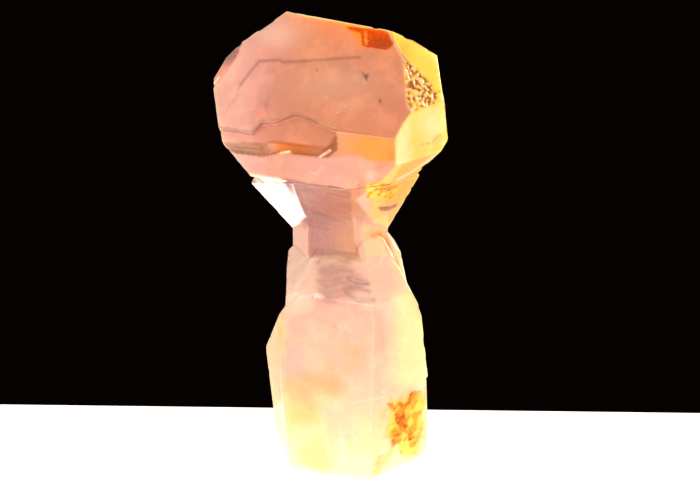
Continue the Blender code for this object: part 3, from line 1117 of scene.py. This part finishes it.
def make_sheet(name, grid, inside, normal, material):
    """A thin closed shell with a ragged rim."""
    tops = {}
    faces = []
    border = {}
    for i, j in sheet_cells(inside):
        square = ((i, j), (i + 1, j), (i + 1, j + 1), (i, j + 1))
        ring = [tops.setdefault(key, len(tops)) for key in square]
        faces.append(ring)
        for a, b in zip(ring, ring[1:] + ring[:1]):
            if (b, a) in border:
                del border[b, a]
            else:
                border[a, b] = True
    count = len(tops)
    middle = np.array([grid[key] for key in tops])
    co = np.concatenate((middle + normal * SHEET_HALF, middle - normal * SHEET_HALF))
    faces += [[k + count for k in reversed(ring)] for ring in faces]
    faces += [[b, a, a + count, b + count] for a, b in border]
    piece = mesh_object(name, co, faces, material)
    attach(piece, "root")


def make_sealed(solid):
    materials = {kind: sealed_material(*look) for kind, look in SEALED_KINDS.items()}
    for k, (name, pixel, depth, facing, wide, high, kind) in enumerate(SEALED):
        seed = SHEET_SEED + 2 * k
        grid, inside, normal = sheet_points(solid, pixel, depth, facing, wide, high, seed)
        make_sheet(name, grid, inside, normal, materials[kind])


# Studio

# Name, place, aim and width in mm, power in W and colour
LAMPS = (
    ("key", (-130, -230, 120), (0, 0, 30), 150, 0.3, (1, 0.95, 0.9)),
    ("back_right", (190, 120, 90), (4, 0, 30), 120, 0.65, (1, 0.93, 0.8)),
    # Makes the white glare under the head at the left
    ("low_left", (-60.1, 87.3, -72.6), (-5, -6, 31), 40, 0.031, (1, 0.97, 0.95)),
    ("strip_left", (-42, 87, -36), (-9, -3, 12), 50, 0.003, (1, 0.76, 0.46)),
    ("left_fill", (-220, -70, 50), (-4, 0, 26), 170, 0.12, (1, 0.86, 0.72)),
    ("overhead", (10, -30, 260), (0, 0, 0), 160, 0.15, (1, 0.98, 0.95)),
)
# The floor's far edge slants, as the photograph's does
FLOOR_HALF = 420
FLOOR_BACK = 8.45
FLOOR_SLANT = 0.0265
FLOOR_THICK = 3
# The world as the camera sees it, and as all else does
DARK = ((1, 0.4, 0.25, 1), 0.0018)
GLOW = ((1, 0.84, 0.72, 1), 0.6)


def lamp(name, at, aim, size, power, colour):
    light = bpy.data.lights.new(name, "AREA")
    light.shape = "DISK"
    light.size = size * MM
    light.energy = power
    light.color = colour
    obj = placed(name, light)
    obj.location = Vector(at) * MM
    way = Vector(aim) - Vector(at)
    obj.rotation_euler = way.to_track_quat("-Z", "Y").to_euler()
    obj.visible_camera = False


def make_world(scene):
    world = bpy.data.worlds.new("studio")
    scene.world = world
    world.use_nodes = True
    world.cycles.sampling_method = "NONE"
    nodes, links = world.node_tree.nodes, world.node_tree.links
    dark = nodes["Background"]
    glow = nodes.new("ShaderNodeBackground")
    for node, (colour, strength) in ((dark, DARK), (glow, GLOW)):
        node.inputs["Color"].default_value = colour
        node.inputs["Strength"].default_value = strength
    path = nodes.new("ShaderNodeLightPath")
    both = nodes.new("ShaderNodeMixShader")
    links.new(path.outputs["Is Camera Ray"], both.inputs[0])
    links.new(glow.outputs[0], both.inputs[1])
    links.new(dark.outputs[0], both.inputs[2])
    links.new(both.outputs[0], nodes["World Output"].inputs["Surface"])


def make_floor():
    side, back, below = FLOOR_HALF, FLOOR_BACK, -FLOOR_THICK
    front = ((-side, -side, 0), (side, -side, 0), (side, back, 0), (-side, back, 0))
    corners = np.array(front + ((-side, back, below), (side, back, below)))
    corners[2:, 1] -= corners[2:, 0] * FLOOR_SLANT
    faces = ((0, 1, 2), (0, 2, 3), (3, 2, 5), (3, 5, 4))
    floor = mesh_object("floor", corners, faces, floor_material(), rounded=False)


def make_camera(scene):
    camera = bpy.data.cameras.new("camera")
    camera.lens = LENS
    camera.sensor_width = SENSOR
    camera.clip_start = 0.01
    eye = placed("camera", camera)
    eye.location = Vector(EYE) * MM
    eye.rotation_euler = (math.pi / 2 - ELEVATION, 0, 0)
    scene.camera = eye


def studio():
    scene = bpy.context.scene
    scene.view_settings.view_transform = "Standard"
    scene.view_settings.look = "None"
    make_world(scene)
    for row in LAMPS:
        lamp(*row)
    make_floor()
    make_camera(scene)


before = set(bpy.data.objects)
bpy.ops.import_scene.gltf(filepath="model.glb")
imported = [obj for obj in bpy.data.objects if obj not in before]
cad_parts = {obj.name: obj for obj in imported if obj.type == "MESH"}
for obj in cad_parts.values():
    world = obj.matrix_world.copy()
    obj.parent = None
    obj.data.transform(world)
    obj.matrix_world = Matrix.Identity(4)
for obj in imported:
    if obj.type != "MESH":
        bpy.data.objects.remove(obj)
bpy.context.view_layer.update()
crystal_skin = Skin(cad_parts["sceptre_crystal"])
make_crystal(crystal_skin)
make_sealed(crystal_skin.solid)
studio()
